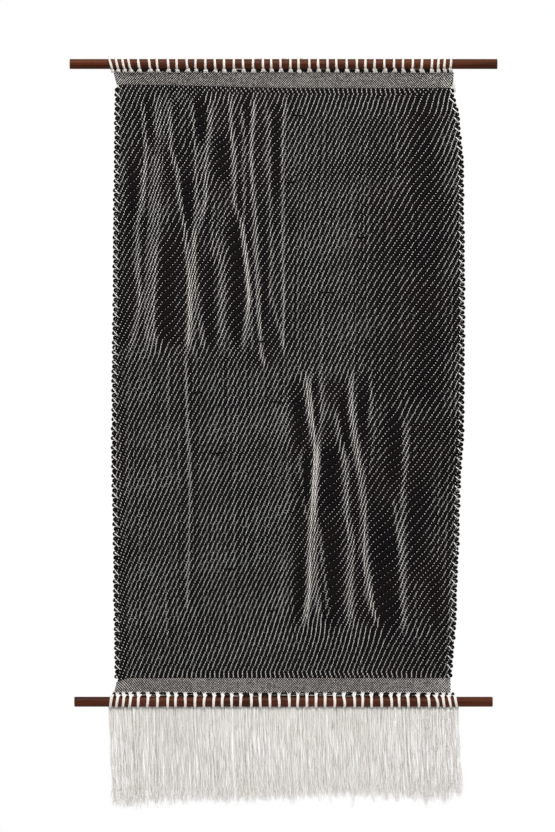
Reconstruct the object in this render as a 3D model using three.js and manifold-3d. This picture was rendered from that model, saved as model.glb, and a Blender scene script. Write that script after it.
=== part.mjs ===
// Tapestry wall hanging: a black wool and white cotton twill cloth whose warp ends are
// tied in bunches over a top dowel and round a bottom dowel, and hang on as a fringe.
// Millimetres. The origin is the middle of the top dowel's axis; +X runs along the dowel,
// +Z up, and the front faces -Y, so the wall is on the +Y side.
import * as THREE from "three";
import { mergeVertices } from "three/addons/utils/BufferGeometryUtils.js";
import Module from "manifold-3d";

const wasm = await Module();
wasm.setup();

// ---- Driving dimensions ----
const dowelDiameter = 16;
const dowelChamfer = 0.8;
const topBareEnd = 71; // dowel past each side of the headers
const bottomBareEnd = 63.5;

const headerWidth = 542; // the fine plain-weave bands at both ends of the cloth
const headerThickness = 2.4;
const topHeaderHeight = 26;
const bottomHeaderHeight = 23;

const fieldHeight = 942; // the bulky twill between the two headers
const fieldThickness = 6;
const leftBulge = 6; // how far each side of the field stands out past the headers
const rightBulge = 20;

const selvedgeWidth = 5;
const selvedgeThickness = 7;

const bareWarpTop = 5.4; // bare warp between the top dowel's underside and the header
const bareWarpBottom = 8; // bare warp between the lower header and the bottom dowel

const strandWidth = 4; // one bunch of warp ends where it crosses a dowel
const strandThickness = 2.2;
const topBunches = 39;
const topBunchOverhang = 1; // from the header's side out to the last bunch's middle
const bottomBunches = 40;
const bottomBunchOverhang = 5;
const edgePitch = 10; // spacing of the bunches near each selvedge
const edgeGaps = 3; // how many such spacings there are at each end

const knotRadius = 2; // the knot under the top dowel
const hingeRadius = 1.2; // the pinch of each bunch between lower header and dowel
const bunchesPerNode = 2;

const fringeLength = 152; // from the wraps under the bottom dowel to the mean cut end
const fringeThickness = 9;
const fringeRaggedness = 7; // how far the cut ends stray from the mean
const fringeTaper = 30; // the stretch over which a tassel narrows
const tasselTip = 3; // half width of a tassel's cut end
const tasselsPerNode = 4;

// ---- Clearances ----
const seam = 0.3; // between pieces that touch
const runningGap = 0.3; // between a dowel and the warp that goes round it
const hingeGap = 1.5; // from the lower header's edge down to the line where the bunches bend

// ---- Facets ----
const dowelFacets = 48;
const holeFacets = 16;
const ringArcSteps = 10;
const tipArcSteps = 3;
const edgeSteps = 22; // steps along each side of the cloth

// ---- Heights worked out from the driving dimensions ----
const dowelRadius = dowelDiameter / 2;
const headerTop = -(dowelRadius + bareWarpTop);
const fieldTop = headerTop - topHeaderHeight;
const fieldBottom = fieldTop - fieldHeight;
const foldHeight = (fieldTop + fieldBottom) / 2; // the cloth folds in half here
const lowerHeaderBottom = fieldBottom - bottomHeaderHeight;
const bottomDowelHeight = lowerHeaderBottom - bareWarpBottom - dowelRadius;
const bendHeight = lowerHeaderBottom - hingeGap; // the bottom bar swings about this line
const ringOuterRadius = dowelRadius + runningGap + strandThickness;
const fringeTop = bottomDowelHeight - ringOuterRadius - seam;

// How far each side stands out, as [share of the field's height, share of the bulge].
const leftSideShape = [[0, 0], [0.3, 0.5], [0.6, 1], [0.8, 0.4], [1, 0]];
const rightSideShape = [
  [0, 0.1], [0.05, 0.6], [0.13, 0.92], [0.35, 1], [0.55, 0.95], [0.72, 0.6], [0.88, 0.35], [1, 0],
];

const material = (color, roughness) =>
  new THREE.MeshStandardMaterial({ color, roughness, metalness: 0 });
const darkWood = material("#56301f", 0.45);
const blackWool = material("#141216", 0.95);
const headerTwill = material("#857d76", 0.9);
const whiteCotton = material("#ece5da", 0.85);
const fringeCotton = material("#dcd6cd", 0.9);

const hanging = new THREE.Group();
hanging.name = "tapestry_wall_hanging";

function addPiece(name, geometry, finish) {
  const mesh = new THREE.Mesh(geometry, finish);
  mesh.name = name;
  hanging.add(mesh);
  return mesh;
}

const numbered = (stem, index) => `${stem}_${String(index + 1).padStart(2, "0")}`;

// ---- Solids ----
function solidFrom(geometry) {
  const bare = new THREE.BufferGeometry();
  const loose = geometry.index ? geometry.toNonIndexed() : geometry;
  bare.setAttribute("position", loose.getAttribute("position"));
  const merged = mergeVertices(bare, 1e-4);
  return new wasm.Manifold(
    new wasm.Mesh({
      numProp: 3,
      vertProperties: new Float32Array(merged.attributes.position.array),
      triVerts: new Uint32Array(merged.index.array),
    }),
  );
}

function joined(geometries) {
  const solid = geometries.map(solidFrom).reduce((sum, next) => sum.add(next));
  const mesh = solid.getMesh();
  const geometry = new THREE.BufferGeometry();
  geometry.setAttribute("position", new THREE.BufferAttribute(mesh.vertProperties, 3));
  geometry.setIndex(new THREE.BufferAttribute(mesh.triVerts, 1));
  return geometry;
}

// A flat plate from an outline of [x, z] points, centred on the cloth's middle plane.
function plateFromFront(outline, thickness) {
  const shape = new THREE.Shape(outline.map(([x, z]) => new THREE.Vector2(x, z)));
  return new THREE.ExtrudeGeometry(shape, { depth: thickness, bevelEnabled: false })
    .rotateX(Math.PI / 2)
    .translate(0, thickness / 2, 0);
}

// A plate from a side outline in Y and Z, as wide along X as given and centred on x.
function plateFromSide(shape, width, x) {
  const sideways = new THREE.Matrix4().makeBasis(
    new THREE.Vector3(0, 1, 0),
    new THREE.Vector3(0, 0, 1),
    new THREE.Vector3(1, 0, 0),
  );
  return new THREE.ExtrudeGeometry(shape, { depth: width, bevelEnabled: false })
    .applyMatrix4(sideways)
    .translate(x - width / 2, 0, 0);
}

function arcPoints(y, z, radius, from, to, steps) {
  return Array.from({ length: steps + 1 }, (_, i) => {
    const angle = from + ((to - from) * i) / steps;
    return new THREE.Vector2(y + radius * Math.cos(angle), z + radius * Math.sin(angle));
  });
}

// The side outline of a bunch that goes round a dowel at height z and is pinched to tipRadius
// at the given distance above it (pointing = 1) or below it (pointing = -1).
function loopOutline(z, pointing, distance, tipRadius) {
  const spread = Math.acos((ringOuterRadius - tipRadius) / distance);
  const aim = (pointing * Math.PI) / 2;
  const ring = arcPoints(0, z, ringOuterRadius, aim + spread, aim + 2 * Math.PI - spread, ringArcSteps);
  const tip = arcPoints(
    0, z + pointing * distance, tipRadius, aim - spread, aim + spread, tipArcSteps,
  );
  const shape = new THREE.Shape([...ring, ...tip]);
  const holeRadius = (dowelRadius + runningGap) / Math.cos(Math.PI / holeFacets);
  shape.holes.push(
    new THREE.Path(arcPoints(0, z, holeRadius, 0, 2 * Math.PI, holeFacets).slice(0, -1).reverse()),
  );
  return shape;
}

// The middles of a row of bunches: close together at both ends, evenly spaced between.
function bunchMiddles(count, overhang) {
  const span = headerWidth + 2 * overhang;
  const innerGaps = count - 1 - 2 * edgeGaps;
  const innerPitch = (span - 2 * edgeGaps * edgePitch) / innerGaps;
  const middles = [-span / 2];
  for (let gap = 0; gap < count - 1; gap++) {
    const atEnd = gap < edgeGaps || gap >= edgeGaps + innerGaps;
    middles.push(middles[gap] + (atEnd ? edgePitch : innerPitch));
  }
  return middles;
}

const topMiddles = bunchMiddles(topBunches, topBunchOverhang);
const bottomMiddles = bunchMiddles(bottomBunches, bottomBunchOverhang);

// Loops round a dowel, a few neighbours to a piece, joined by the strip they are knotted to.
function addLoops(stem, middles, outline, stripHeight) {
  for (let first = 0; first < middles.length; first += bunchesPerNode) {
    const group = middles.slice(first, first + bunchesPerNode);
    const parts = group.map((x) => plateFromSide(outline, strandWidth, x));
    const stripLength = group.at(-1) - group[0];
    if (stripLength > 0) {
      parts.push(
        new THREE.BoxGeometry(stripLength, hingeRadius, hingeRadius).translate(
          group[0] + stripLength / 2, 0, stripHeight,
        ),
      );
    }
    addPiece(numbered(stem, first / bunchesPerNode), joined(parts), whiteCotton);
  }
}

// ---- Dowels ----
function addDowel(name, bareEnd, z) {
  const end = headerWidth / 2 + bareEnd;
  const profile = [
    [0, -end], [dowelRadius - dowelChamfer, -end], [dowelRadius, -end + dowelChamfer],
    [dowelRadius, end - dowelChamfer], [dowelRadius - dowelChamfer, end], [0, end],
  ].map(([r, along]) => new THREE.Vector2(r, along));
  const geometry = new THREE.LatheGeometry(profile, dowelFacets)
    .rotateZ(Math.PI / 2)
    .translate(0, 0, z);
  addPiece(name, geometry, darkWood);
}

addDowel("top_dowel", topBareEnd, 0);
addDowel("bottom_dowel", bottomBareEnd, bottomDowelHeight);

// ---- Cloth ----
function shareAt(sideShape, depth) {
  const next = Math.max(1, sideShape.findIndex(([at]) => at >= depth));
  const [d0, s0] = sideShape[next - 1];
  const [d1, s1] = sideShape[next];
  const t = (depth - d0) / (d1 - d0);
  return s0 + (s1 - s0) * (t * t * (3 - 2 * t));
}

// The x of the cloth's outer edge at height z; side is -1 on the left, 1 on the right.
function edgeAt(side, z) {
  const depth = (fieldTop - z) / fieldHeight;
  const [bulge, shape] = side < 0 ? [leftBulge, leftSideShape] : [rightBulge, rightSideShape];
  return side * (headerWidth / 2 + bulge * shareAt(shape, depth));
}

// Points down one side of the cloth, moved in from the outer edge by inset.
function sideLine(side, inset, top, bottom) {
  const steps = Math.ceil((edgeSteps * (top - bottom)) / fieldHeight);
  return Array.from({ length: steps + 1 }, (_, i) => {
    const z = top + ((bottom - top) * i) / steps;
    return [edgeAt(side, z) - side * inset, z];
  });
}

function addHeader(name, top, bottom) {
  const half = headerWidth / 2;
  const outline = [[-half, bottom], [half, bottom], [half, top], [-half, top]];
  addPiece(name, plateFromFront(outline, headerThickness), headerTwill);
}

function addClothHalf(half, top, bottom) {
  const inset = selvedgeWidth + seam;
  const left = sideLine(-1, inset, top, bottom);
  const right = sideLine(1, inset, top, bottom).reverse();
  addPiece(`${half}_field`, plateFromFront([...left, ...right], fieldThickness), blackWool);
  for (const [name, side] of [["left", -1], ["right", 1]]) {
    const outer = sideLine(side, 0, top, bottom);
    const inner = sideLine(side, selvedgeWidth, top, bottom).reverse();
    addPiece(
      `${half}_${name}_selvedge`, plateFromFront([...outer, ...inner], selvedgeThickness), blackWool,
    );
  }
}

addHeader("top_header", headerTop, fieldTop + seam);
addClothHalf("upper", fieldTop, foldHeight + seam / 2);
addClothHalf("lower", foldHeight - seam / 2, fieldBottom);
addHeader("lower_header", fieldBottom - seam, lowerHeaderBottom);

// ---- Warp bunches round the dowels ----
const knotDistance = dowelRadius + bareWarpTop - seam - knotRadius;
addLoops("top_loops", topMiddles, loopOutline(0, -1, knotDistance, knotRadius), -knotDistance);

const bendDistance = bendHeight - bottomDowelHeight;
addLoops(
  "bottom_wraps",
  bottomMiddles,
  loopOutline(bottomDowelHeight, 1, bendDistance, hingeRadius),
  bendHeight - hingeRadius,
);

// ---- Fringe ----
// The cut ends' mean line falls and rises gently from left to right.
const tasselEnd = (index) =>
  fringeTop - fringeLength - fringeRaggedness * Math.cos((index * 2 * Math.PI) / (bottomBunches - 1));

function addFringeSection(index) {
  const first = index * tasselsPerNode;
  const last = Math.min(first + tasselsPerNode, bottomBunches) - 1;
  const between = (i) => (bottomMiddles[i - 1] + bottomMiddles[i]) / 2;
  const left = first > 0 ? between(first) + seam / 2 : bottomMiddles[0] - edgePitch / 2;
  const right =
    last < bottomBunches - 1 ? between(last + 1) - seam / 2 : bottomMiddles[last] + edgePitch / 2;
  const outline = [[right, fringeTop], [left, fringeTop]];
  for (let i = first; i <= last; i++) {
    const shoulder = tasselEnd(i) + fringeTaper;
    outline.push([i === first ? left : between(i), shoulder]);
    outline.push([bottomMiddles[i] - tasselTip, tasselEnd(i)]);
    outline.push([bottomMiddles[i] + tasselTip, tasselEnd(i)]);
  }
  outline.push([right, tasselEnd(last) + fringeTaper]);
  addPiece(numbered("fringe", index), plateFromFront(outline, fringeThickness), fringeCotton);
}

for (let index = 0; index * tasselsPerNode < bottomBunches; index++) addFringeSection(index);

export default hanging;
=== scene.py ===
import math

import bmesh
import bpy
import numpy as np
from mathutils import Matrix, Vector


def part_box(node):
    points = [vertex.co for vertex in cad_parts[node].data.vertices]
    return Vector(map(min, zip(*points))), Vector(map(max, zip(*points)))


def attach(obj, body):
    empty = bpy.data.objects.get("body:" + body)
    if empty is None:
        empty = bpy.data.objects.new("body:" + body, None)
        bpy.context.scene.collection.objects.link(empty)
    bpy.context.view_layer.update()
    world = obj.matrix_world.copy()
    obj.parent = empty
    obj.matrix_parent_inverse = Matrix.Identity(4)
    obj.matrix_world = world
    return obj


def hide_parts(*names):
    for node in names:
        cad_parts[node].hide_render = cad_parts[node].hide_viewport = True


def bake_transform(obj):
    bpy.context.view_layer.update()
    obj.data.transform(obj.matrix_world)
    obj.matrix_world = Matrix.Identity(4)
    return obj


bl_info = {
    "name": "Tapestry wall hanging",
    "version": (1, 0, 0),
    "blender": (4, 5, 0),
    "location": "View3D > Sidebar > Hanging",
    "description": "Wool and cotton cloth, its bunched warp, fringe and dowels",
    "category": "Object",
}

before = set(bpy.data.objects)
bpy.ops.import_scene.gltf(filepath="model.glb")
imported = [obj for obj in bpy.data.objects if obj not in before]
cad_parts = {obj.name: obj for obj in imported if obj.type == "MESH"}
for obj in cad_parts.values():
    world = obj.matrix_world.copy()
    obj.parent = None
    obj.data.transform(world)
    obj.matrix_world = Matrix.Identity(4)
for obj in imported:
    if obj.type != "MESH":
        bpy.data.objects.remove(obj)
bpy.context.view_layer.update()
MM = 0.001


# ---- Places taken from the frame ----
def low(node):
    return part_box(node)[0]


def high(node):
    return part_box(node)[1]


CLOTH_TOP = high("top_header").z
FIELD_TOP = low("top_header").z
FIELD_FOOT = high("lower_header").z
CLOTH_FOOT = low("lower_header").z
HALF_WIDTH = high("top_header").x
FOOT_ROD = (high("bottom_dowel") + low("bottom_dowel")) / 2
ROD_RADIUS = (high("top_dowel").z - low("top_dowel").z) / 2
LEFT_BULGE = -low("upper_left_selvedge").x - HALF_WIDTH
RIGHT_BULGE = high("upper_right_selvedge").x - HALF_WIDTH
TOP_LOOPS = sorted(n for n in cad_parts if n.startswith("top_loops"))
FOOT_WRAPS = sorted(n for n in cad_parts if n.startswith("bottom_wraps"))
TASSELS = sorted(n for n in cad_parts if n.startswith("fringe"))


def bunch_middles(nodes, strand_width):
    """The middles of the bunches: each node holds one at each end of its width."""
    middles = []
    for node in nodes:
        left = low(node).x + strand_width / 2
        right = high(node).x - strand_width / 2
        middles += [left] if right - left < MM else [left, right]
    return np.array(middles)


# ---- What a user would change ----
class HangingSizes(bpy.types.PropertyGroup):
    warp_ends: bpy.props.IntProperty(
        name="Warp ends", description="Cotton ends across the cloth", default=284, min=40,
    )
    weft_picks: bpy.props.IntProperty(
        name="Wool picks", description="Rows of wool between the two headers",
        default=250, min=20,
    )
    header_pick: bpy.props.FloatProperty(
        name="Header pick", description="Spacing of the fine rows in the headers",
        default=1.95 * MM, unit="LENGTH",
    )
    weft_height: bpy.props.FloatProperty(
        name="Wool height", description="Height of a wool row where it passes in front",
        default=4.5 * MM, unit="LENGTH",
    )
    weft_depth: bpy.props.FloatProperty(
        name="Wool depth", description="Front to back thickness of the wool",
        default=2.8 * MM, unit="LENGTH",
    )
    warp_width: bpy.props.FloatProperty(
        name="Warp width", description="Width of one cotton end in the cloth",
        default=1.85 * MM, unit="LENGTH",
    )
    bunch_strand: bpy.props.FloatProperty(
        name="Bunched strand", description="Thickness of an end squeezed in a bunch",
        default=1.3 * MM, unit="LENGTH",
    )
    bunch_width: bpy.props.FloatProperty(
        name="Bunch width", description="Width of a bunch where it crosses a dowel",
        default=4.0 * MM, unit="LENGTH",
    )
    fringe_ply: bpy.props.FloatProperty(
        name="Fringe ply", description="Thickness of one opened ply in the fringe",
        default=1.0 * MM, unit="LENGTH",
    )
    fringe_lean: bpy.props.FloatProperty(
        name="Fringe lean", description="How far the fringe hangs over to the right",
        default=6.0 * MM, unit="LENGTH",
    )


class HangingColours(bpy.types.PropertyGroup):
    wool: bpy.props.FloatVectorProperty(
        name="Wool", description="Black wool", subtype="COLOR", default=(0.0036, 0.0031, 0.0037),
    )
    wool_warm: bpy.props.FloatVectorProperty(
        name="Wool, warm", description="Browner patches of the wool", subtype="COLOR",
        default=(0.0068, 0.0047, 0.0042),
    )
    cotton: bpy.props.FloatVectorProperty(
        name="Cotton", description="Natural white cotton", subtype="COLOR",
        default=(0.80, 0.755, 0.70),
    )
    # Painted shade: the darker colour mixed into the grooves between the cotton's plies.
    cotton_shade: bpy.props.FloatVectorProperty(
        name="Cotton, between plies", description="Cotton in the grooves of its twist",
        subtype="COLOR", default=(0.62, 0.57, 0.52),
    )
    fringe: bpy.props.FloatVectorProperty(
        name="Fringe", description="Opened cotton ends", subtype="COLOR",
        default=(0.92, 0.895, 0.86),
    )
    wood: bpy.props.FloatVectorProperty(
        name="Wood", description="Reddish brown stain", subtype="COLOR",
        default=(0.072, 0.0180, 0.0056),
    )
    wood_dark: bpy.props.FloatVectorProperty(
        name="Wood grain", description="Darker grain lines", subtype="COLOR",
        default=(0.022, 0.0058, 0.0026),
    )
    floor: bpy.props.FloatVectorProperty(
        name="Floor", description="Pale floor", subtype="COLOR", default=(0.83, 0.83, 0.83),
    )


def sizes():
    return bpy.context.scene.hanging_sizes


def colours():
    return bpy.context.scene.hanging_colours


# ---- Small tools ----
def smooth(t):
    t = np.clip(t, 0.0, 1.0)
    return t * t * (3 - 2 * t)


def spot(x, y, z):
    """Points from their x, y and z, any of which may be one number for all."""
    return np.stack(np.broadcast_arrays(x, y, z), axis=-1)


def rgba(colour):
    return (*colour, 1.0)


def tangents(paths):
    step = np.gradient(paths, axis=1)
    return step / np.maximum(np.linalg.norm(step, axis=2, keepdims=True), 1e-9)


def through(points, count):
    """Smooth curves through each row of points, as count points each."""
    rows, n, _ = points.shape
    ends = np.concatenate(
        [2 * points[:, :1] - points[:, 1:2], points, 2 * points[:, -1:] - points[:, -2:-1]],
        axis=1,
    )
    at = np.linspace(0, n - 1, count)
    k = np.minimum(at.astype(int), n - 2)
    t = (at - k)[None, :, None]
    a, b, c, d = (ends[:, k + i] for i in range(4))
    return 0.5 * (
        2 * b + (c - a) * t + (2 * a - 5 * b + 4 * c - d) * t**2
        + (3 * b - a - 3 * c + d) * t**3
    )


DIAMOND = ((0, -1), (1, 0), (0, 1), (-1, 0))
ROUND_FRONT = ((0, -1), (0.88, -0.5), (0.62, 0.8), (-0.62, 0.8), (-0.88, -0.5))
TRIANGLE = ((0, -1), (0.87, 0.5), (-0.87, 0.5))


class Yarns:
    """Gathers tubes, then makes them one mesh with a map along the yarn and a flat one."""

    def __init__(self):
        self.points, self.quads, self.caps = [], [], []
        self.along, self.shades = [], []
        self.count = 0

    def add(self, paths, wide, deep, section=DIAMOND, facing=(0, 1, 0), shade=0.5):
        """One closed tube along each path. wide is half its size across the path and
        deep half its size along facing."""
        paths = np.asarray(paths, float)
        rows, n, _ = paths.shape
        ahead = tangents(paths)
        side = np.cross(ahead, np.array(facing, float))
        side /= np.maximum(np.linalg.norm(side, axis=2, keepdims=True), 1e-9)
        back = np.cross(side, ahead)
        wide = np.broadcast_to(wide, (rows, n))[..., None, None]
        deep = np.broadcast_to(deep, (rows, n))[..., None, None]
        shape = np.array(section, float)
        sides = len(shape)
        ring = (
            paths[:, :, None]
            + side[:, :, None] * shape[None, None, :, :1] * wide
            + back[:, :, None] * shape[None, None, :, 1:] * deep
        )
        base = self.count + np.arange(rows)[:, None, None] * n * sides
        i = np.arange(n - 1)[None, :, None] * sides
        k = np.arange(sides)[None, None, :]
        nxt = (k + 1) % sides
        quads = np.stack(
            [base + i + k, base + i + sides + k, base + i + sides + nxt, base + i + nxt], axis=-1
        ).reshape(-1, 4)
        self.quads.append(quads)
        first = self.count + np.arange(rows)[:, None] * n * sides + np.arange(sides)[None, :]
        self.caps.append(first)
        self.caps.append((first + (n - 1) * sides)[:, ::-1])
        steps = np.linalg.norm(np.diff(paths, axis=1), axis=2)
        length = np.concatenate([np.zeros((rows, 1)), np.cumsum(steps, axis=1)], axis=1)
        around = np.stack([k, k, k + 1, k + 1], axis=-1) / sides + np.zeros((rows, n - 1, 1, 1))
        down = np.stack(
            [length[:, :-1], length[:, 1:], length[:, 1:], length[:, :-1]], axis=-1
        )[:, :, None] + np.zeros((1, 1, sides, 1))
        self.along.append(np.stack([down / (10 * MM), around], axis=-1).reshape(-1, 2))
        value = np.broadcast_to(np.asarray(shade, float).reshape(-1, 1), (rows, 1))
        self.shades.append(np.repeat(value, n * sides, axis=1).ravel())
        self.points.append(ring.reshape(-1, 3))
        self.count += rows * n * sides

    def mesh(self, name, material, body=None):
        points = np.concatenate(self.points)
        quads = np.concatenate(self.quads)
        along = np.concatenate(self.along)
        loops, starts = [quads.ravel()], [np.arange(len(quads)) * 4]
        at = quads.size
        for caps in self.caps:
            starts.append(at + np.arange(len(caps)) * caps.shape[1])
            loops.append(caps.ravel())
            at += caps.size
        loops = np.concatenate(loops).astype(np.int32)
        starts = np.concatenate(starts).astype(np.int32)
        mesh = bpy.data.meshes.new(name)
        mesh.vertices.add(len(points))
        mesh.vertices.foreach_set("co", points.astype(np.float32).ravel())
        mesh.loops.add(len(loops))
        mesh.loops.foreach_set("vertex_index", loops)
        mesh.polygons.add(len(starts))
        mesh.polygons.foreach_set("loop_start", starts)
        mesh.update(calc_edges=True)
        mesh.polygons.foreach_set("use_smooth", np.ones(len(starts), bool))
        yarn = np.full((len(loops), 2), 0.5, np.float32)
        yarn[: len(along)] = along
        flat_map(mesh, points, loops)
        mesh.uv_layers.new(name="Yarn").data.foreach_set("uv", yarn.ravel())
        shade = mesh.attributes.new("shade", "FLOAT", "POINT")
        shade.data.foreach_set("value", np.concatenate(self.shades).astype(np.float32))
        mesh.materials.append(material)
        piece = bpy.data.objects.new(name, mesh)
        bpy.context.scene.collection.objects.link(piece)
        if body:
            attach(piece, body)
        return piece


def flat_map(mesh, points, loops):
    """A map seen from the front, for the baked colours."""
    flat = points[:, [0, 2]] + points[:, 1:2] * 0.02
    lowest, highest = flat.min(0), flat.max(0)
    flat = 0.01 + 0.98 * (flat - lowest) / (highest - lowest)
    layer = mesh.uv_layers.new(name="OFBake")
    layer.data.foreach_set("uv", flat[loops].astype(np.float32).ravel())


# ---- The cloth's shape ----
LEFT_SIDE = ((0, 0), (0.3, 0.5), (0.6, 1), (0.8, 0.4), (1, 0))
RIGHT_SIDE = (
    (0, 0.1), (0.05, 0.6), (0.13, 0.92), (0.35, 1), (0.55, 0.95), (0.72, 0.6), (0.88, 0.35), (1, 0),
)
EDGE_INSET = 4.8 * MM  # from the outside of the wool's turns in to the outermost warp end


def side_share(shape, depth):
    at, out = np.array(shape, float).T
    k = np.clip(np.searchsorted(at, depth, side="right") - 1, 0, len(at) - 2)
    t = (depth - at[k]) / (at[k + 1] - at[k])
    return out[k] + (out[k + 1] - out[k]) * smooth(t)


def field_height(share):
    """The level height at a share of the field's depth."""
    return FIELD_TOP + (FIELD_FOOT - FIELD_TOP) * share


def cloth_sides(z):
    """The x of the cloth's left and right edges at each height."""
    depth = np.clip((FIELD_TOP - z) / (FIELD_TOP - FIELD_FOOT), 0, 1)
    left = -HALF_WIDTH - LEFT_BULGE * side_share(LEFT_SIDE, depth)
    return left, HALF_WIDTH + RIGHT_BULGE * side_share(RIGHT_SIDE, depth)


# Where the weaver drew warp ends together: a half width in mm, how strongly the ends are drawn
# in, and the line's points as (x, z) in mm. warp_table scales the widths and strengths.
DRAWN_LINES = (
    (3.5, 1.2, ((-225, -56), (-219, -138), (-226, -215), (-234, -262), (-234, -330),
                (-230, -383), (-243, -470))),
    (9.0, 0.9, ((-202, -50), (-198, -122), (-207, -207), (-208, -330), (-213, -383), (-213, -470))),
    (3.0, 1.5, ((-183, -52), (-180, -143), (-170, -175), (-165, -223), (-157, -276),
                (-151, -351), (-150, -404), (-154, -470))),
    (2.0, 1.3, ((-156, -455), (-154, -559), (-150, -676), (-154, -884))),
    (3.5, 1.0, ((-147, -52), (-139, -138), (-140, -234), (-144, -266), (-140, -351),
                (-134, -415), (-124, -470))),
    (3.5, 1.1, ((-115, -56), (-118, -106), (-124, -143), (-124, -218), (-134, -252),
                (-146, -300), (-146, -420), (-150, -470))),
    (3.0, 1.4, ((-84, -42), (-84, -95), (-79, -148), (-78, -223), (-67, -260), (-62, -308),
                (-55, -372), (-59, -404), (-65, -470))),
    (3.0, 1.2, ((-68, -60), (-63, -116), (-63, -223), (-64, -268), (-56, -330), (-53, -400),
                (-50, -470))),
    (3.0, 1.7, ((-47, -47), (-52, -148), (-47, -223), (-44, -308), (-40, -394), (-35, -463),
                (-27, -497))),
    (2.6, 0.6, ((-24, -56), (-22, -196), (-19, -308), (-20, -372), (-3, -436), (2, -470))),
    (2.4, 1.2, ((5, -42), (-1, -116), (-1, -308), (0, -383), (-1, -470))),
    (4.5, 2.2, ((38, -488), (41, -538), (48, -586), (53, -628), (48, -682), (43, -756),
                (42, -842), (31, -908))),
    (4.0, 1.0, ((61, -488), (63, -543), (58, -596), (53, -628), (50, -700), (52, -790),
                (56, -905))),
    (2.6, 1.1, ((37, -596), (27, -634), (33, -698), (38, -742))),
    (4.0, 1.1, ((84, -548), (90, -596), (100, -644), (102, -719), (110, -767), (107, -842),
                (108, -908))),
    (4.5, 1.6, ((110, -484), (109, -554), (116, -612), (125, -666), (128, -719), (130, -788),
                (141, -863), (157, -912))),
    (3.0, 1.0, ((139, -484), (141, -538), (133, -592))),
    (3.0, 1.0, ((56, -719), (63, -799), (75, -892))),
    (4.0, 1.2, ((194, -556), (196, -623), (191, -690), (190, -790), (192, -863), (193, -918))),
    (3.0, 1.3, ((176, -684), (180, -740), (188, -790))),
)
# And the gaps left beside them: (x, middle height, half width, half height) in mm, and how
# strongly the ends are moved out, which warp_table scales too.
OPEN_GAPS = (
    (-216, -92, 8, 44, 0.75), (-242, -200, 8, 52, 0.8), (-134, -92, 12, 48, 0.9),
    (-154, -218, 10, 40, 0.75), (-99, -152, 11, 46, 0.9), (-70, -228, 6, 36, 0.4),
    (-57, -70, 6, 40, 0.6), (-11, -140, 9, 92, 0.65), (-187, -368, 19, 112, 0.85),
    (-78, -351, 14, 118, 0.95), (-117, -383, 13, 95, 0.9), (-28, -350, 7, 100, 0.4),
    (25, -572, 10, 50, 0.9), (52, -582, 6, 40, 0.95), (97, -572, 8, 55, 0.9),
    (126, -566, 10, 48, 0.7), (36, -671, 7, 45, 0.75), (176, -612, 16, 74, 0.6),
    (80, -816, 14, 106, 0.95), (26, -838, 9, 62, 0.75), (77, -664, 12, 66, 0.8),
    (162, -820, 21, 116, 0.75), (243, -858, 12, 62, 0.7), (218, -740, 16, 110, 0.5),
    (224, -130, 24, 120, 0.45), (228, -420, 22, 160, 0.25),
)
# How far the headers' far edges spread: (left, right), up at the top and down at the foot.
TOP_LEAN, FOOT_LEAN = (-4.5 * MM, 3.2 * MM), (-3.6 * MM, 0.0)
SKIRT = 4.0  # how much wider the ground that lends its ends to a line is
LINE_WIDTH = 1.4  # the lines are this many times as wide as their half widths say
LINE_PULL, GAP_PULL = 0.78, 0.8  # the share of their strength that lines and gaps get
LINE_FADE = 0.03  # a line comes in, and goes out, over this length
GAP_FULL = 1.2  # above 1, so that a gap has its full strength over its middle
SPARSEST, CLOSEST = 0.15, 4.2  # limits of how closely the ends lie, against an even cloth
FIELD_EASE = 0.28  # how much looser the plain ground right of the middle lies
STRAYS = 9  # heights between which each end wanders from its place
HEADER_STRAY, FIELD_STRAY = 0.03, 0.15  # how far, in spacings of the ends
ACROSS = 1600  # steps over the width in which closeness is added up
LEVEL_STEP = 0.0025  # height between two levels of the table


def bump(distance, half_width):
    """A rise over half_width, paid for by a shallow dip all round it."""
    wide = SKIRT * half_width
    return np.exp(-((distance / half_width) ** 2)) - np.exp(-((distance / wide) ** 2)) / SKIRT


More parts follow.
